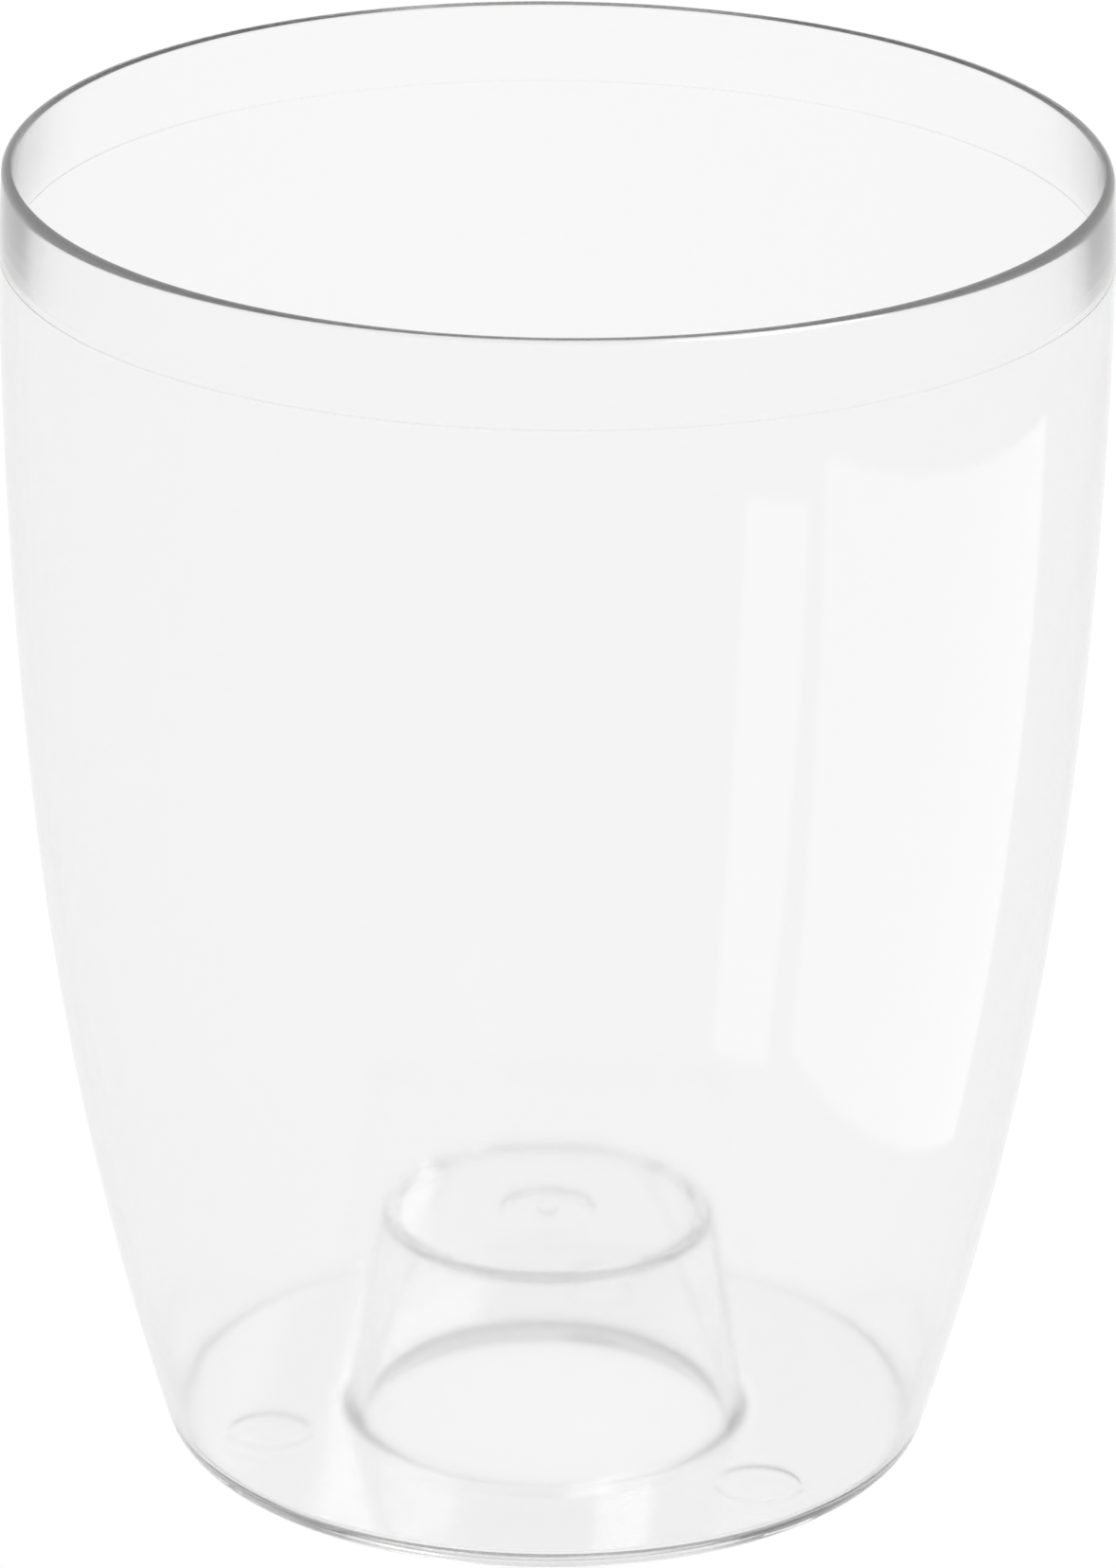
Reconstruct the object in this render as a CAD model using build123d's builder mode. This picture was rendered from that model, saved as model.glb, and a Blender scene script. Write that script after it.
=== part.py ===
"""A clear orchid pot: one thin-walled moulding with a closed floor and a raised pedestal in it.

The pot stands on the XY plane with its axis on Z. Radii are measured from that axis and heights
from the table.
"""
from build123d import *
import os

os.makedirs("parts", exist_ok=True)

# The wall outside, in millimetres
pot_height = 160.0
band_height = 10.3
waist_height = 77.0
belly_radius = 65.0
waist_inset = 3.9
foot_radius = 45.2
foot_round = 4.0

# The wall's thickness, measured level
belly_wall = 1.8
waist_wall = 1.7
foot_wall = 1.6

# The band above the parting line leans in outside and flares inside, up to a lip with rounded edges
rim_lean = 0.4
mouth_flare = 0.2
lip_outer_round_share = 0.85
lip_inner_round_share = 0.08

# The floor
floor_thickness = 2.4
floor_round = 1.9

# The marks that the ejector pins left in the floor: a shallow recess with a fine ridge round it
mark_count = 3
mark_radius = 5.25
mark_turn = 77.2
mark_place_share = 0.537
mark_depth = 0.15
mark_ridge_width = 0.35
mark_ridge_height = 0.2

# The pedestal, which is hollow and open below
pedestal_height = 28.0
pedestal_top_radius = 19.85
pedestal_foot_radius = 24.2
pedestal_wall = 1.9
pedestal_top_round = 0.6
pedestal_foot_round = 0.8
pocket_top_round = 0.5
pocket_foot_round = 0.4

# The gate mark in the middle of the pedestal's top
gate_radius = 5.6
gate_depth = 0.5
gate_nub_radius = 1.2
gate_nub_height = 0.4

parting_height = pot_height - band_height
waist_radius = belly_radius - waist_inset
rim_radius = belly_radius - rim_lean
mouth_radius = belly_radius - belly_wall
lip_inner_radius = mouth_radius + mouth_flare
lip_width = rim_radius - lip_inner_radius
lip_outer_round = lip_outer_round_share * lip_width
lip_inner_round = lip_inner_round_share * lip_width
floor_radius = foot_radius - foot_wall
pocket_height = pedestal_height - pedestal_wall
pocket_top_radius = pedestal_top_radius - pedestal_wall
pocket_foot_radius = pedestal_foot_radius - pedestal_wall
# The marks stand between the pedestal's foot and the wall
mark_circle_radius = pedestal_foot_radius + mark_place_share * (floor_radius - pedestal_foot_radius)


def wall_line(top_radius, middle_radius, bottom_radius):
    """Draws one face of the wall: two smooth arcs, upright at the parting line."""
    upper = TangentArc((top_radius, parting_height), (middle_radius, waist_height), tangent=(0, -1))
    TangentArc((middle_radius, waist_height), (bottom_radius, 0), tangent=upper % 1)


def corner(section, radius, height):
    """The corner of a section at this radius and height."""
    return section.vertices().sort_by_distance((radius, height))[0]


with BuildPart() as pot_shell:
    # The outside as a solid
    with BuildSketch(Plane.XZ) as outside:
        with BuildLine():
            wall_line(belly_radius, waist_radius, foot_radius)
            Polyline(
                (foot_radius, 0),
                (0, 0),
                (0, pot_height),
                (rim_radius, pot_height),
                (belly_radius, parting_height),
            )
        make_face()
        fillet(corner(outside, foot_radius, 0), radius=foot_round)
        fillet(corner(outside, rim_radius, pot_height), radius=lip_outer_round)
    revolve(axis=Axis.Z)

    # The room inside: the floor and the pedestal stand in it
    with BuildSketch(Plane.XZ) as inside:
        with BuildLine():
            wall_line(mouth_radius, waist_radius - waist_wall, floor_radius)
            Polyline(
                (floor_radius, 0),
                (0, 0),
                (0, pot_height),
                (lip_inner_radius, pot_height),
                (mouth_radius, parting_height),
            )
        make_face()
        with BuildLine():
            Polyline(
                (0, 0),
                (belly_radius, 0),
                (belly_radius, floor_thickness),
                (pedestal_foot_radius, floor_thickness),
                (pedestal_top_radius, pedestal_height),
                (0, pedestal_height),
                close=True,
            )
        make_face(mode=Mode.SUBTRACT)
        floor_corner = inside.vertices().group_by(Axis.Y)[0].sort_by(Axis.X)[-1]
        fillet(floor_corner, radius=floor_round)
        fillet(corner(inside, pedestal_foot_radius, floor_thickness), radius=pedestal_foot_round)
        fillet(corner(inside, pedestal_top_radius, pedestal_height), radius=pedestal_top_round)
    revolve(axis=Axis.Z, mode=Mode.SUBTRACT)

    # The pocket under the pedestal
    with BuildSketch(Plane.XZ) as pocket:
        with BuildLine():
            Polyline(
                (0, 0),
                (pocket_foot_radius, 0),
                (pocket_top_radius, pocket_height),
                (0, pocket_height),
                close=True,
            )
        make_face()
        fillet(corner(pocket, pocket_top_radius, pocket_height), radius=pocket_top_round)
    revolve(axis=Axis.Z, mode=Mode.SUBTRACT)

    # Rounded edges inside the rim and at the pocket's mouth
    fillet(pot_shell.edges().group_by(Axis.Z)[-1].sort_by(SortBy.RADIUS)[0], radius=lip_inner_round)
    fillet(pot_shell.edges().group_by(Axis.Z)[0].sort_by(SortBy.RADIUS)[0], radius=pocket_foot_round)

    # The gate mark: a shallow round recess with a nub in its middle
    with BuildSketch(Plane.XY.offset(pedestal_height)):
        Circle(gate_radius)
    extrude(amount=-gate_depth, mode=Mode.SUBTRACT)
    with BuildSketch(Plane.XY.offset(pedestal_height - gate_depth)):
        Circle(gate_nub_radius)
    extrude(amount=gate_nub_height)

    # The marks of the ejector pins
    with BuildSketch(Plane.XY.offset(floor_thickness)):
        with PolarLocations(mark_circle_radius, mark_count, start_angle=mark_turn):
            Circle(mark_radius)
    extrude(amount=mark_ridge_height)
    with BuildSketch(Plane.XY.offset(floor_thickness - mark_depth)):
        with PolarLocations(mark_circle_radius, mark_count, start_angle=mark_turn):
            Circle(mark_radius - mark_ridge_width)
    extrude(amount=mark_depth + mark_ridge_height, mode=Mode.SUBTRACT)

pot_shell.part.label = "pot_shell"
export_step(pot_shell.part, "parts/pot_shell.step")
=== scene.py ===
import math
import bpy
from mathutils import Matrix, Vector


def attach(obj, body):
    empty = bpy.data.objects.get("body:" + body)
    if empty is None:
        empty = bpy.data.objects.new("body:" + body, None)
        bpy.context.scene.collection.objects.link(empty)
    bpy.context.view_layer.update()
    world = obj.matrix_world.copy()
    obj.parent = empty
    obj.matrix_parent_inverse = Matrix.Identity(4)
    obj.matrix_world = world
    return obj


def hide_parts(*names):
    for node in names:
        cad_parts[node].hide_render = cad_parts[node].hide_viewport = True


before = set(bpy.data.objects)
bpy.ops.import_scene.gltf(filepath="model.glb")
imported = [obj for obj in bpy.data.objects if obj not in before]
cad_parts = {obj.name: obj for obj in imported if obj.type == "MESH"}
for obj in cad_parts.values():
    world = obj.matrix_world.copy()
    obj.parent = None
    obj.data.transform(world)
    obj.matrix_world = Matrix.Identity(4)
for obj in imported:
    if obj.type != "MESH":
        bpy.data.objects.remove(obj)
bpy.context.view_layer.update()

MM = 0.001
MATH = "ShaderNodeMath"

# Sizes of the pot, in millimetres
POT_HEIGHT = 160.0
BAND_HEIGHT = 10.3
WAIST_HEIGHT = 77.0
BELLY_RADIUS = 65.0
WAIST_INSET = 3.9
FOOT_RADIUS = 45.2
FOOT_ROUND = 4.0
BELLY_WALL = 1.8
WAIST_WALL = 1.7
FOOT_WALL = 1.6
RIM_LEAN = 0.4
MOUTH_FLARE = 0.2
LIP_OUTER_ROUND = 1.02
LIP_INNER_ROUND = 0.1
FLOOR_THICKNESS = 2.4
FLOOR_ROUND = 1.9
MARK_COUNT = 3
MARK_RADIUS = 5.25
MARK_TURN = 77.2
MARK_PLACE_SHARE = 0.537
MARK_DEPTH = 0.15
MARK_RIDGE_WIDTH = 0.35
MARK_RIDGE_HEIGHT = 0.2
PEDESTAL_HEIGHT = 28.0
PEDESTAL_TOP_RADIUS = 19.85
PEDESTAL_FOOT_RADIUS = 24.2
PEDESTAL_WALL = 1.9
PEDESTAL_TOP_ROUND = 0.6
PEDESTAL_FOOT_ROUND = 0.8
POCKET_TOP_ROUND = 0.5
POCKET_FOOT_ROUND = 0.4
GATE_RADIUS = 5.6
GATE_DEPTH = 0.5
GATE_NUB_RADIUS = 1.2
GATE_NUB_HEIGHT = 0.4
GATE_ROUND = 0.2
GATE_NUB_ROUND = 0.1
PARTING_HEIGHT = POT_HEIGHT - BAND_HEIGHT
RIM_RADIUS = BELLY_RADIUS - RIM_LEAN
MOUTH_RADIUS = BELLY_RADIUS - BELLY_WALL
WAIST_RADIUS = BELLY_RADIUS - WAIST_INSET
FLOOR_RADIUS = FOOT_RADIUS - FOOT_WALL
MARK_CIRCLE_RADIUS = PEDESTAL_FOOT_RADIUS + MARK_PLACE_SHARE * (FLOOR_RADIUS - PEDESTAL_FOOT_RADIUS)

# How finely the pot is turned, in millimetres and degrees
WALL_STEP = 3.0
ROUND_STEP = 10
ROUND_LEAST_STEPS = 4
SEGMENTS = 360
MARK_SEGMENTS = 96
MERGE_DISTANCE = 0.002
SHARP_ANGLE = 28
# Rows this close to the parting line keep the wall's shading crisp there
PARTING_SUPPORT = 0.3
# The same beside each round, as a share of its radius
ROUND_SUPPORT_SHARE = 0.35

# The wall's faint unevenness, from the way the plastic shrinks in the mould
WAVE_LENGTH = 9.0
WAVE_HEIGHT = 0.02
WAVE_DETAIL = 1.0

# The plastic: the pedestal is moulded on a better polished part of the mould than the wall; its whiter
# colour is painted light that brightens the pedestal
PLASTIC_IOR = 1.59
PLASTIC_ROUGHNESS = 0.08
PEDESTAL_ROUGHNESS = 0.02
PLASTIC_COLOUR = "#FCFCFC"
PEDESTAL_PAINTED_LIGHT_COLOUR = "#FFFFFF"
PEDESTAL_REACH = 26.0
# Black takes up every colour alike, so the plastic greys in depth and keeps no tint
ABSORPTION_COLOUR = "#000000"
ABSORPTION_PER_METRE = 5.0

# The fine matt lines that the joints of the mould leave, outside on the wall and in the floor's corner
PARTING_LINE_HALF_WIDTH = 0.09
PARTING_LINE_EXTRA_ROUGHNESS = 0.3
FLOOR_LINE_RADIUS = 44.0
FLOOR_LINE_HALF_WIDTH = 0.25
FLOOR_LINE_EXTRA_ROUGHNESS = 0.6

# The table and the light, in metres and watts
TABLE_HALF_WIDTH = 6.0
# The table lies this far below the pot, so that no two faces share a plane
TABLE_DROP = 0.0003
TABLE_COLOUR = "#F3F3F3"
LIGHT_COLOUR = "#FFFFFF"
TABLE_GLOW = 0.985
TABLE_CAMERA_EXTRA_GLOW = 0.035
TABLE_GLOW_SHARE = 0.97
WORLD_BRIGHT_BELOW = 0.55
WORLD_DIM_ABOVE = 0.95
WORLD_DIM = 0.3
SOFTBOX_PLACE = (0.6, -0.4, 0.9)
SOFTBOX_TARGET = (0, 0, 0.08)
SOFTBOX_WIDTH = 0.6
SOFTBOX_POWER = 6

# Two bright panels that show as reflections in the pot's side: their middle, azimuth, width and height,
# tilt and glow, with lengths in millimetres
PANELS = {
    "wide_panel": ((115, -50, 51), 90, (116, 122), 4, 0.6),
    "narrow_panel": ((84.7, -116.8, 58), 50, (28, 100), 0, 0.66),
}

# The camera, fitted to the rim, the parting line, the floor and the outline, in pixels, millimetres and
# degrees, with its clipping in metres
IMAGE_HEIGHT = 1657
FOCAL_PIXELS = 10592
CAMERA_DISTANCE = 1110.3
CAMERA_HEIGHT = 516.7
CAMERA_PITCH = 21.365
CAMERA_YAW = 0.039
CAMERA_ROLL = 0.626
CAMERA_NEAR = 0.01
CAMERA_FAR = 50
SENSOR = 36.0

# How often light may turn: it runs a long way inside the wall before it comes out at an edge
BOUNCES = 256
MIRROR_BOUNCES = 200
THROUGH_BOUNCES = 64


def linear(hex_colour):
    """An sRGB hex colour as linear values with an alpha of 1."""
    out = []
    for i in (1, 3, 5):
        c = int(hex_colour[i:i + 2], 16) / 255
        out.append(c / 12.92 if c <= 0.04045 else ((c + 0.055) / 1.055) ** 2.4)
    return (*out, 1.0)


def add_node(tree, kind, inputs=(), **settings):
    """Adds a node. Its inputs are values or the outputs that feed them, by socket or in order."""
    node = tree.nodes.new(kind)
    for key, value in settings.items():
        setattr(node, key, value)
    pairs = inputs.items() if isinstance(inputs, dict) else enumerate(inputs)
    for key, value in pairs:
        if isinstance(value, bpy.types.NodeSocket):
            tree.links.new(value, node.inputs[key])
        else:
            node.inputs[key].default_value = value
    return node


def wall_face(top, middle, bottom):
    """One face of the wall, from height to radius: two arcs that meet smoothly at the waist.

    An arc's radius is its chord squared over twice the far end's distance from the tangent.
    """
    rise, lean = PARTING_HEIGHT - WAIST_HEIGHT, top - middle
    upper = (rise ** 2 + lean ** 2) / (2 * lean)
    turn = math.asin(rise / upper)
    drop = middle - bottom
    off_tangent = drop * math.cos(turn) - WAIST_HEIGHT * math.sin(turn)
    lower = (drop ** 2 + WAIST_HEIGHT ** 2) / (2 * off_tangent)

    def radius(z):
        if z >= WAIST_HEIGHT:
            return top - upper + math.sqrt(upper ** 2 - (PARTING_HEIGHT - z) ** 2)
        rise_to_centre = WAIST_HEIGHT + lower * math.sin(turn) - z
        return middle - lower * math.cos(turn) + math.sqrt(lower ** 2 - rise_to_centre ** 2)
    return radius


def rounded(corners):
    """The points of an outline whose corners are (radius, height, round)."""
    points = []
    for i, (x, z, r) in enumerate(corners):
        if not r:
            points.append((x, z))
            continue
        # The sides that run to the corners before and after: their lengths and their ways
        (ax, az, _), (bx, bz, _) = corners[i - 1], corners[i + 1]
        la, lb = math.hypot(ax - x, az - z), math.hypot(bx - x, bz - z)
        ua, ub = ((ax - x) / la, (az - z) / la), ((bx - x) / lb, (bz - z) / lb)
        # The arc touches both sides, with its centre on the line that halves the corner
        half = math.acos(ua[0] * ub[0] + ua[1] * ub[1]) / 2
        tangent = r / math.tan(half)
        mx, mz = ua[0] + ub[0], ua[1] + ub[1]
        reach = r / math.sin(half) / math.hypot(mx, mz)
        cx, cz = x + mx * reach, z + mz * reach
        start = (x + ua[0] * tangent, z + ua[1] * tangent)
        end = (x + ub[0] * tangent, z + ub[1] * tangent)
        a0 = math.atan2(start[1] - cz, start[0] - cx)
        sweep = (math.atan2(end[1] - cz, end[0] - cx) - a0 + math.pi) % (2 * math.pi) - math.pi
        steps = max(ROUND_LEAST_STEPS, round(abs(math.degrees(sweep)) / ROUND_STEP))
        # A row on each side of the round keeps the shading of the flat beside it
        before = min(ROUND_SUPPORT_SHARE * r, (la - tangent) / 2)
        after = min(ROUND_SUPPORT_SHARE * r, (lb - tangent) / 2)
        points.append((start[0] + ua[0] * before, start[1] + ua[1] * before))
        for k in range(steps + 1):
            a = a0 + sweep * k / steps
            points.append((cx + r * math.cos(a), cz + r * math.sin(a)))
        points.append((end[0] + ub[0] * after, end[1] + ub[1] * after))
    return points


def section():
    """Half of the section, from the axis on the pedestal's top, up the inside, over the rim and down."""
    inner = wall_face(MOUTH_RADIUS, WAIST_RADIUS - WAIST_WALL, FLOOR_RADIUS)
    outer = wall_face(BELLY_RADIUS, WAIST_RADIUS, FOOT_RADIUS)
    recess = PEDESTAL_HEIGHT - GATE_DEPTH
    nub = recess + GATE_NUB_HEIGHT
    pocket_top = PEDESTAL_HEIGHT - PEDESTAL_WALL
    rows = round((PARTING_HEIGHT - FLOOR_THICKNESS) / WALL_STEP)
    step = (PARTING_HEIGHT - FLOOR_THICKNESS) / rows
    heights = [FLOOR_THICKNESS + step * k for k in range(rows + 1)]
    below_parting = PARTING_HEIGHT - PARTING_SUPPORT
    above_parting = PARTING_HEIGHT + PARTING_SUPPORT
    band_radius_above = BELLY_RADIUS - RIM_LEAN / BAND_HEIGHT * PARTING_SUPPORT
    # The gate mark, the pedestal, the floor and the wall inside
    corners = [(0, nub, 0)]
    corners += [(GATE_NUB_RADIUS, nub, GATE_NUB_ROUND), (GATE_NUB_RADIUS, recess, GATE_NUB_ROUND)]
    corners += [(GATE_RADIUS, recess, GATE_ROUND), (GATE_RADIUS, PEDESTAL_HEIGHT, GATE_ROUND)]
    corners += [(PEDESTAL_TOP_RADIUS, PEDESTAL_HEIGHT, PEDESTAL_TOP_ROUND)]
    corners += [(PEDESTAL_FOOT_RADIUS, FLOOR_THICKNESS, PEDESTAL_FOOT_ROUND)]
    corners += [(inner(z), z, FLOOR_ROUND if k == 0 else 0) for k, z in enumerate(heights)]
    # The lip, the band and the wall outside
    corners += [(MOUTH_RADIUS + MOUTH_FLARE, POT_HEIGHT, LIP_INNER_ROUND)]
    corners += [(RIM_RADIUS, POT_HEIGHT, LIP_OUTER_ROUND)]
    corners += [(band_radius_above, above_parting, 0), (BELLY_RADIUS, PARTING_HEIGHT, 0)]
    corners += [(outer(below_parting), below_parting, 0)]
    # The two lowest rows are left out beside the foot's round
    corners += [(outer(z), z, 0) for z in reversed(heights[2:-1])]
    # The foot and the pocket under the pedestal
    corners += [(FOOT_RADIUS, 0, FOOT_ROUND)]
    corners += [(PEDESTAL_FOOT_RADIUS - PEDESTAL_WALL, 0, POCKET_FOOT_ROUND)]
    corners += [(PEDESTAL_TOP_RADIUS - PEDESTAL_WALL, pocket_top, POCKET_TOP_ROUND)]
    corners += [(0, pocket_top, 0)]
    return rounded(corners)


def pot_tree():
    """Geometry nodes that turn a section about Z and set a ring of round moulding marks into the floor."""
    tree = bpy.data.node_groups.new("turned_pot", "GeometryNodeTree")
    face = tree.interface
    face.new_socket("Section", in_out="INPUT", socket_type="NodeSocketGeometry")
    for name in ("Turning Radius", "Floor Thickness", "Mark Circle Radius", "Mark Turn", "Mark Radius",
                 "Mark Depth", "Ridge Width", "Ridge Height", "Wave Scale", "Wave Height"):
        face.new_socket(name, in_out="INPUT", socket_type="NodeSocketFloat")
    for name in ("Segments", "Mark Count"):
        face.new_socket(name, in_out="INPUT", socket_type="NodeSocketInt")
    face.new_socket("Plastic", in_out="INPUT", socket_type="NodeSocketMaterial")
    face.new_socket("Pot", in_out="OUTPUT", socket_type="NodeSocketGeometry")
    given = add_node(tree, "NodeGroupInput").outputs

    # The section, carried round a circle
    line = add_node(tree, "GeometryNodeMeshToCurve", {"Mesh": given["Section"]})
    circle = add_node(tree, "GeometryNodeCurvePrimitiveCircle", {
        "Resolution": given["Segments"], "Radius": given["Turning Radius"]})
    turned = add_node(tree, "GeometryNodeCurveToMesh", {
        "Curve": circle.outputs["Curve"], "Profile Curve": line.outputs["Curve"]})
    body = add_node(tree, "GeometryNodeMergeByDistance", {
        "Geometry": turned.outputs["Mesh"], "Distance": MERGE_DISTANCE * MM})

    # The marks: a raised disc each, and a narrower one cut down through it
    ring = add_node(tree, "GeometryNodeMeshCircle", {
        "Vertices": given["Mark Count"], "Radius": given["Mark Circle Radius"]})

    def discs(radius, bottom, top):
        """Discs at the marks' places, from one height up to another."""
        depth = add_node(tree, MATH, (top, bottom), operation="SUBTRACT").outputs[0]
        middle = add_node(tree, MATH, (depth, 0.5, bottom), operation="MULTIPLY_ADD").outputs[0]
        lift = add_node(tree, "ShaderNodeCombineXYZ", {"Z": middle})
        turn = add_node(tree, "ShaderNodeCombineXYZ", {"Z": given["Mark Turn"]})
        places = add_node(tree, "GeometryNodeTransform", {
            "Geometry": ring.outputs["Mesh"], "Translation": lift.outputs[0], "Rotation": turn.outputs[0]})
        disc = add_node(tree, "GeometryNodeMeshCylinder", {
            "Vertices": MARK_SEGMENTS, "Radius": radius, "Depth": depth})
        set_out = add_node(tree, "GeometryNodeInstanceOnPoints", {
            "Points": places.outputs[0], "Instance": disc.outputs["Mesh"]})
        return add_node(tree, "GeometryNodeRealizeInstances", {"Geometry": set_out.outputs[0]}).outputs[0]

    floor_top = given["Floor Thickness"]
    inside_floor = add_node(tree, MATH, (floor_top, 0.5), operation="MULTIPLY").outputs[0]
    ridge_top = add_node(tree, MATH, (floor_top, given["Ridge Height"]), operation="ADD").outputs[0]
    recess = add_node(tree, MATH, (floor_top, given["Mark Depth"]), operation="SUBTRACT").outputs[0]
    clear_of_ridge = add_node(tree, MATH, (ridge_top, given["Ridge Height"]),
                              operation="ADD").outputs[0]
    recess_radius = add_node(tree, MATH, (given["Mark Radius"], given["Ridge Width"]),
                             operation="SUBTRACT").outputs[0]
    raised = discs(given["Mark Radius"], inside_floor, ridge_top)
    sunk = discs(recess_radius, recess, clear_of_ridge)
    joined = add_node(tree, "GeometryNodeMeshBoolean", {"Mesh 2": body.outputs[0]}, operation="UNION")
    tree.links.new(raised, joined.inputs["Mesh 2"])
    marked = add_node(tree, "GeometryNodeMeshBoolean", {
        "Mesh 1": joined.outputs[0], "Mesh 2": sunk}, operation="DIFFERENCE")

    # The faint unevenness, along the surface's own normal
    noise = add_node(tree, "ShaderNodeTexNoise", {"Scale": given["Wave Scale"], "Detail": WAVE_DETAIL})
    height = add_node(tree, MATH, (noise.outputs["Fac"], 0.5), operation="SUBTRACT").outputs[0]
    wave = add_node(tree, MATH, (height, given["Wave Height"]), operation="MULTIPLY").outputs[0]
    normal = add_node(tree, "GeometryNodeInputNormal")
    shift = add_node(tree, "ShaderNodeVectorMath", {0: normal.outputs[0], "Scale": wave}, operation="SCALE")
    waved = add_node(tree, "GeometryNodeSetPosition", {
        "Geometry": marked.outputs["Mesh"], "Offset": shift.outputs[0]})

    # Smooth everywhere but at the marks' sharp edges
    angle = add_node(tree, "GeometryNodeInputMeshEdgeAngle").outputs["Unsigned Angle"]
    soft = add_node(tree, MATH, (angle, math.radians(SHARP_ANGLE)), operation="LESS_THAN").outputs[0]
    faces = add_node(tree, "GeometryNodeSetShadeSmooth", {
        "Geometry": waved.outputs[0], "Shade Smooth": True}, domain="FACE")
    edges = add_node(tree, "GeometryNodeSetShadeSmooth", {
        "Geometry": faces.outputs[0], "Shade Smooth": soft}, domain="EDGE")
    real = add_node(tree, "GeometryNodeRealizeInstances", {"Geometry": edges.outputs[0]})
    done = add_node(tree, "GeometryNodeSetMaterial", {
        "Geometry": real.outputs[0], "Material": given["Plastic"]})
    add_node(tree, "NodeGroupOutput", {"Pot": done.outputs[0]})
    return tree


def clear_polystyrene():
    """Clear polystyrene as moulded: bright and glassy, with a soft edge to what it mirrors.

    It greys a little in depth, so edges seen through a long way of plastic are dark. Where parts of
    the mould meet, a fine matt line catches the eye.
    """
    mat = bpy.data.materials.new("clear_polystyrene")
    mat.use_nodes = True
    tree = mat.node_tree
    tree.nodes.clear()
    place = add_node(tree, "ShaderNodeTexCoord").outputs["Object"]
    parts = add_node(tree, "ShaderNodeSeparateXYZ", {0: place}).outputs
    level = add_node(tree, "ShaderNodeCombineXYZ", {"X": parts["X"], "Y": parts["Y"]}).outputs[0]
    from_axis = add_node(tree, "ShaderNodeVectorMath", {0: level}, operation="LENGTH").outputs["Value"]

    def near(place_along, middle, half_width):
        """1 where a coordinate is this close to a middle given in millimetres."""
        return add_node(tree, MATH, (place_along, middle * MM, half_width * MM),
                        operation="COMPARE").outputs[0]

    outside = add_node(tree, MATH, (from_axis, (BELLY_RADIUS - BELLY_WALL / 2) * MM),
                       operation="GREATER_THAN").outputs[0]
    at_parting = near(parts["Z"], PARTING_HEIGHT, PARTING_LINE_HALF_WIDTH)
    parting_line = add_node(tree, MATH, (at_parting, outside), operation="MULTIPLY").outputs[0]
    on_floor = near(parts["Z"], FLOOR_THICKNESS + FLOOR_ROUND / 2, FLOOR_ROUND)
    at_floor_edge = near(from_axis, FLOOR_LINE_RADIUS, FLOOR_LINE_HALF_WIDTH)
    floor_line = add_node(tree, MATH, (at_floor_edge, on_floor), operation="MULTIPLY").outputs[0]
    pedestal = add_node(tree, MATH, (from_axis, PEDESTAL_REACH * MM), operation="LESS_THAN").outputs[0]
    shift = PEDESTAL_ROUGHNESS - PLASTIC_ROUGHNESS
    roughness = add_node(tree, MATH, (pedestal, shift, PLASTIC_ROUGHNESS),
                         operation="MULTIPLY_ADD").outputs[0]
    roughness = add_node(tree, MATH, (parting_line, PARTING_LINE_EXTRA_ROUGHNESS, roughness),
                         operation="MULTIPLY_ADD").outputs[0]
    roughness = add_node(tree, MATH, (floor_line, FLOOR_LINE_EXTRA_ROUGHNESS, roughness),
                         operation="MULTIPLY_ADD").outputs[0]
    # The pedestal's whiter colour is painted light: it makes the pedestal brighter than the same plastic in
    # the wall
    # Sockets 6 and 7 are this node's two colours
    colour = add_node(tree, "ShaderNodeMix", {
        0: pedestal, 6: linear(PLASTIC_COLOUR), 7: linear(PEDESTAL_PAINTED_LIGHT_COLOUR)}, data_type="RGBA").outputs[2]
    shader = add_node(tree, "ShaderNodeBsdfPrincipled", {
        "Base Color": colour, "Roughness": roughness, "IOR": PLASTIC_IOR, "Transmission Weight": 1.0})
    haze = add_node(tree, "ShaderNodeVolumeAbsorption", {
        "Color": linear(ABSORPTION_COLOUR), "Density": ABSORPTION_PER_METRE})
    add_node(tree, "ShaderNodeOutputMaterial", {"Surface": shader.outputs[0], "Volume": haze.outputs[0]})
    return mat


def build_pot():
    """The pot: its section, turned and marked by the nodes and then made a plain mesh."""
    points = section()
    # The nodes carry it round with X pointing outwards from the turning radius and Y down
    mesh = bpy.data.meshes.new("pot_section")
    mesh.from_pydata([((r - BELLY_RADIUS) * MM, -z * MM, 0) for r, z in points],
                     [(i, i + 1) for i in range(len(points) - 1)], [])
    pot = bpy.data.objects.new("pot_shell_clear", mesh)
    bpy.context.scene.collection.objects.link(pot)
    modifier = pot.modifiers.new("turn", "NODES")
    modifier.node_group = pot_tree()
    values = {
        "Turning Radius": BELLY_RADIUS * MM,
        "Segments": SEGMENTS,
        "Floor Thickness": FLOOR_THICKNESS * MM,
        "Mark Count": MARK_COUNT,
        "Mark Circle Radius": MARK_CIRCLE_RADIUS * MM,
        "Mark Turn": math.radians(MARK_TURN),
        "Mark Radius": MARK_RADIUS * MM,
        "Mark Depth": MARK_DEPTH * MM,
        "Ridge Width": MARK_RIDGE_WIDTH * MM,
        "Ridge Height": MARK_RIDGE_HEIGHT * MM,
        "Wave Scale": 1 / (WAVE_LENGTH * MM),
        "Wave Height": WAVE_HEIGHT * MM,
        "Plastic": clear_polystyrene(),
    }
    for item in modifier.node_group.interface.items_tree:
        if item.in_out == "INPUT" and item.name in values:
            modifier[item.identifier] = values[item.name]
    evaluated = pot.evaluated_get(bpy.context.evaluated_depsgraph_get())
    result = bpy.data.meshes.new_from_object(evaluated)
    pot.modifiers.remove(modifier)
    pot.data = result
    bpy.data.meshes.remove(mesh)
    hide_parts("pot_shell")
    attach(pot, "root")


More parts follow.
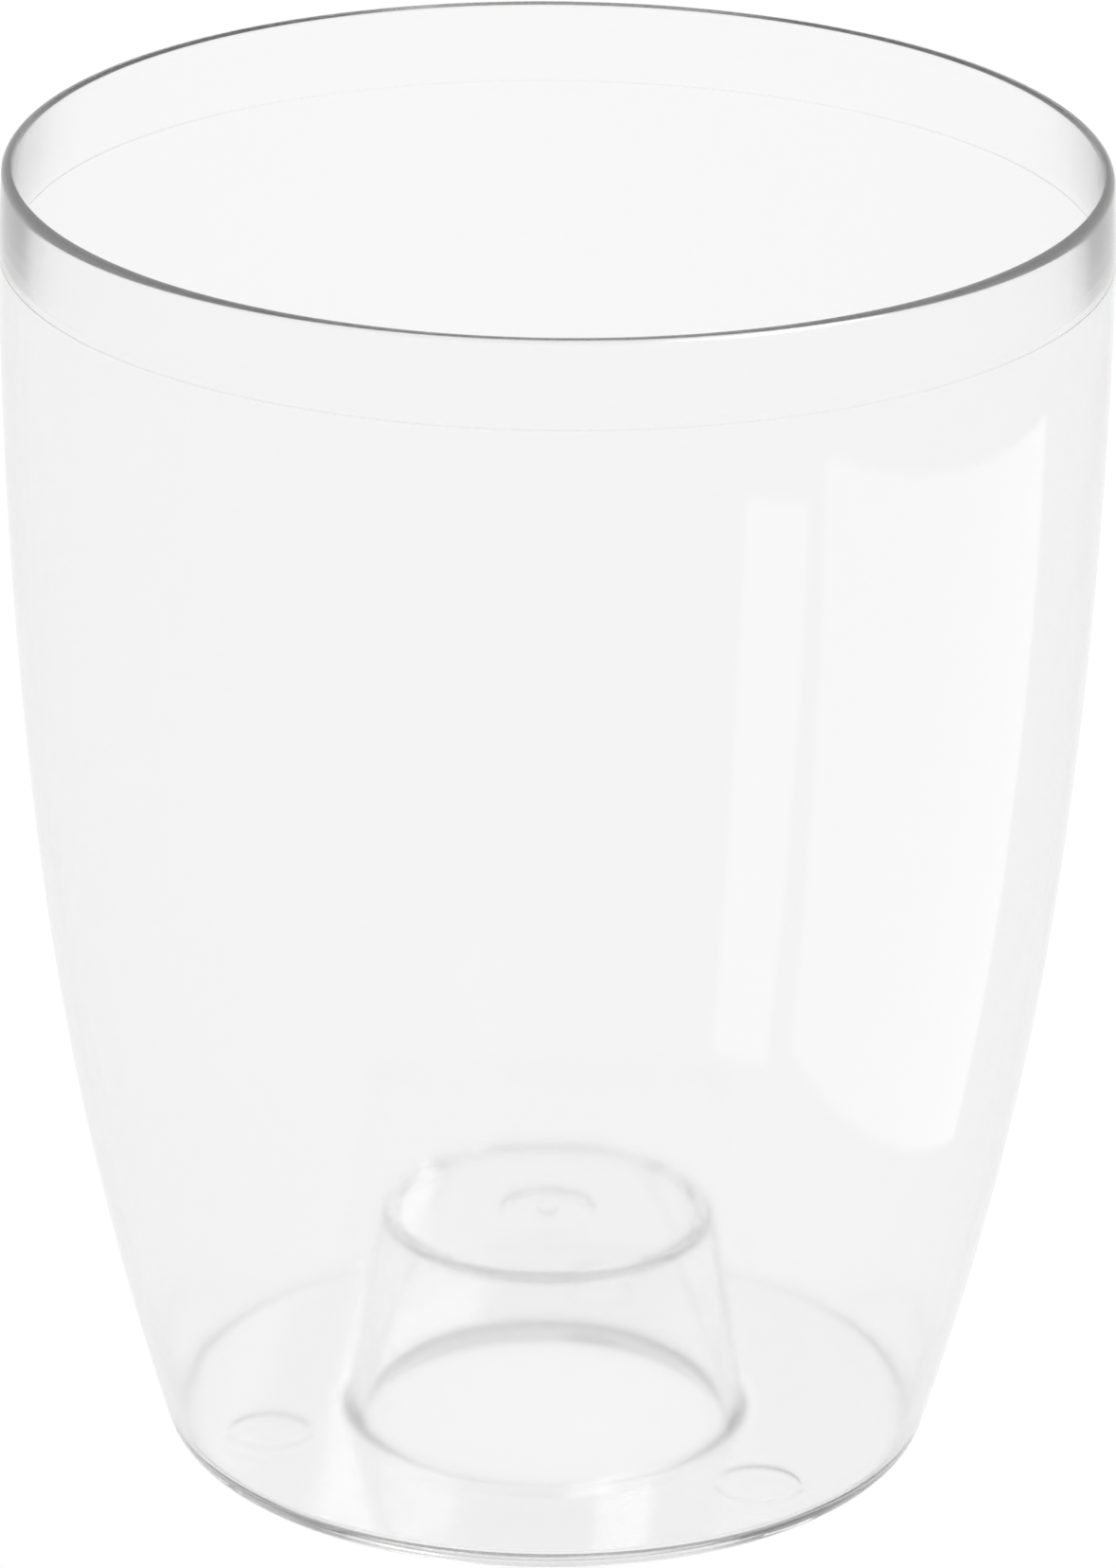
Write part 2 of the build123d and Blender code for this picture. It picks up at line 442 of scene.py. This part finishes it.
def white_table():
    """A white table, lit evenly from below: it keeps the pot's shadow and is bright through the plastic."""
    mat = bpy.data.materials.new("white_table")
    mat.use_nodes = True
    tree = mat.node_tree
    tree.nodes.clear()
    path = add_node(tree, "ShaderNodeLightPath").outputs
    seen = add_node(tree, MATH, (path["Is Camera Ray"], path["Is Glossy Ray"]),
                    operation="MAXIMUM").outputs[0]
    seen = add_node(tree, MATH, (seen, path["Is Transmission Ray"]), operation="MAXIMUM").outputs[0]
    share = add_node(tree, MATH, (seen, TABLE_GLOW_SHARE), operation="MULTIPLY").outputs[0]
    strength = add_node(tree, MATH, (path["Is Camera Ray"], TABLE_CAMERA_EXTRA_GLOW, TABLE_GLOW),
                        operation="MULTIPLY_ADD").outputs[0]
    paint = add_node(tree, "ShaderNodeBsdfDiffuse", {"Color": linear(TABLE_COLOUR)})
    glow = add_node(tree, "ShaderNodeEmission", {"Color": linear(LIGHT_COLOUR), "Strength": strength})
    mix = add_node(tree, "ShaderNodeMixShader", {0: share, 1: paint.outputs[0], 2: glow.outputs[0]})
    add_node(tree, "ShaderNodeOutputMaterial", {"Surface": mix.outputs[0]})
    return mat


def build_table():
    """The table under the pot, which belongs to the stage and not to the part."""
    s, z = TABLE_HALF_WIDTH, -TABLE_DROP
    mesh = bpy.data.meshes.new("table")
    mesh.from_pydata([(-s, -s, z), (s, -s, z), (s, s, z), (-s, s, z)], [], [(0, 1, 2, 3)])
    mesh.materials.append(white_table())
    table = bpy.data.objects.new("table", mesh)
    bpy.context.scene.collection.objects.link(table)


def build_world():
    """A white room that dims overhead, so that the plastic mirrors a light and a darker part."""
    world = bpy.data.worlds.new("studio")
    bpy.context.scene.world = world
    world.use_nodes = True
    tree = world.node_tree
    tree.nodes.clear()
    path = add_node(tree, "ShaderNodeLightPath").outputs
    way = add_node(tree, "ShaderNodeTexCoord").outputs["Generated"]
    rise = add_node(tree, "ShaderNodeSeparateXYZ", {0: way}).outputs["Z"]
    dimming = add_node(tree, "ShaderNodeMapRange", {
        "Value": rise, "From Min": WORLD_BRIGHT_BELOW, "From Max": WORLD_DIM_ABOVE,
        "To Min": 1.0, "To Max": WORLD_DIM}).outputs[0]
    strength = add_node(tree, MATH, (dimming, path["Is Camera Ray"]), operation="MAXIMUM").outputs[0]
    back = add_node(tree, "ShaderNodeBackground", {"Color": linear(LIGHT_COLOUR), "Strength": strength})
    add_node(tree, "ShaderNodeOutputWorld", {"Surface": back.outputs[0]})


def area_lamp(name, width, height, power):
    """A rectangular lamp, its sides in metres and its power in watts."""
    data = bpy.data.lights.new(name, "AREA")
    data.shape = "RECTANGLE"
    data.size, data.size_y = width, height
    data.energy = power
    lamp = bpy.data.objects.new(name, data)
    bpy.context.scene.collection.objects.link(lamp)
    return lamp


def build_softbox():
    """A softbox above the front right side, aimed at the pot."""
    softbox = area_lamp("softbox", SOFTBOX_WIDTH, SOFTBOX_WIDTH, SOFTBOX_POWER)
    way = Vector(SOFTBOX_TARGET) - Vector(SOFTBOX_PLACE)
    softbox.location = SOFTBOX_PLACE
    softbox.rotation_euler = way.to_track_quat("-Z", "Y").to_euler()


def build_panel(name, middle, azimuth, size, tilt, glow):
    """A bright upright panel beside the pot that shows only as a reflection in its side."""
    width, height = (v * MM for v in size)
    panel = area_lamp(name, width, height, glow * math.pi * width * height)
    turned = Matrix.Rotation(math.radians(azimuth), 4, "Z")
    upright = Matrix.Rotation(math.radians(90), 4, "X")
    tilted = Matrix.Rotation(math.radians(tilt), 4, "Z")
    panel.matrix_world = Matrix.Translation(Vector(middle) * MM) @ turned @ upright @ tilted
    panel.visible_camera = False
    panel.visible_diffuse = False
    panel.visible_transmission = False
    panel.visible_volume_scatter = False


def build_camera():
    """The camera, where the fit puts it."""
    data = bpy.data.cameras.new("camera")
    data.sensor_width = SENSOR
    data.lens = FOCAL_PIXELS * SENSOR / IMAGE_HEIGHT
    data.clip_start, data.clip_end = CAMERA_NEAR, CAMERA_FAR
    camera = bpy.data.objects.new("camera", data)
    bpy.context.scene.collection.objects.link(camera)
    place = Matrix.Translation(Vector((0, -CAMERA_DISTANCE, CAMERA_HEIGHT)) * MM)
    yaw = Matrix.Rotation(math.radians(-CAMERA_YAW), 4, "Z")
    pitch = Matrix.Rotation(math.radians(90 - CAMERA_PITCH), 4, "X")
    roll = Matrix.Rotation(math.radians(CAMERA_ROLL), 4, "Z")
    camera.matrix_world = place @ yaw @ pitch @ roll
    bpy.context.scene.camera = camera


scene = bpy.context.scene
scene.view_settings.view_transform = "Standard"
scene.cycles.max_bounces = BOUNCES
scene.cycles.glossy_bounces = MIRROR_BOUNCES
scene.cycles.transmission_bounces = THROUGH_BOUNCES
build_pot()
build_table()
build_world()
build_camera()
build_softbox()
for name, panel in PANELS.items():
    build_panel(name, *panel)
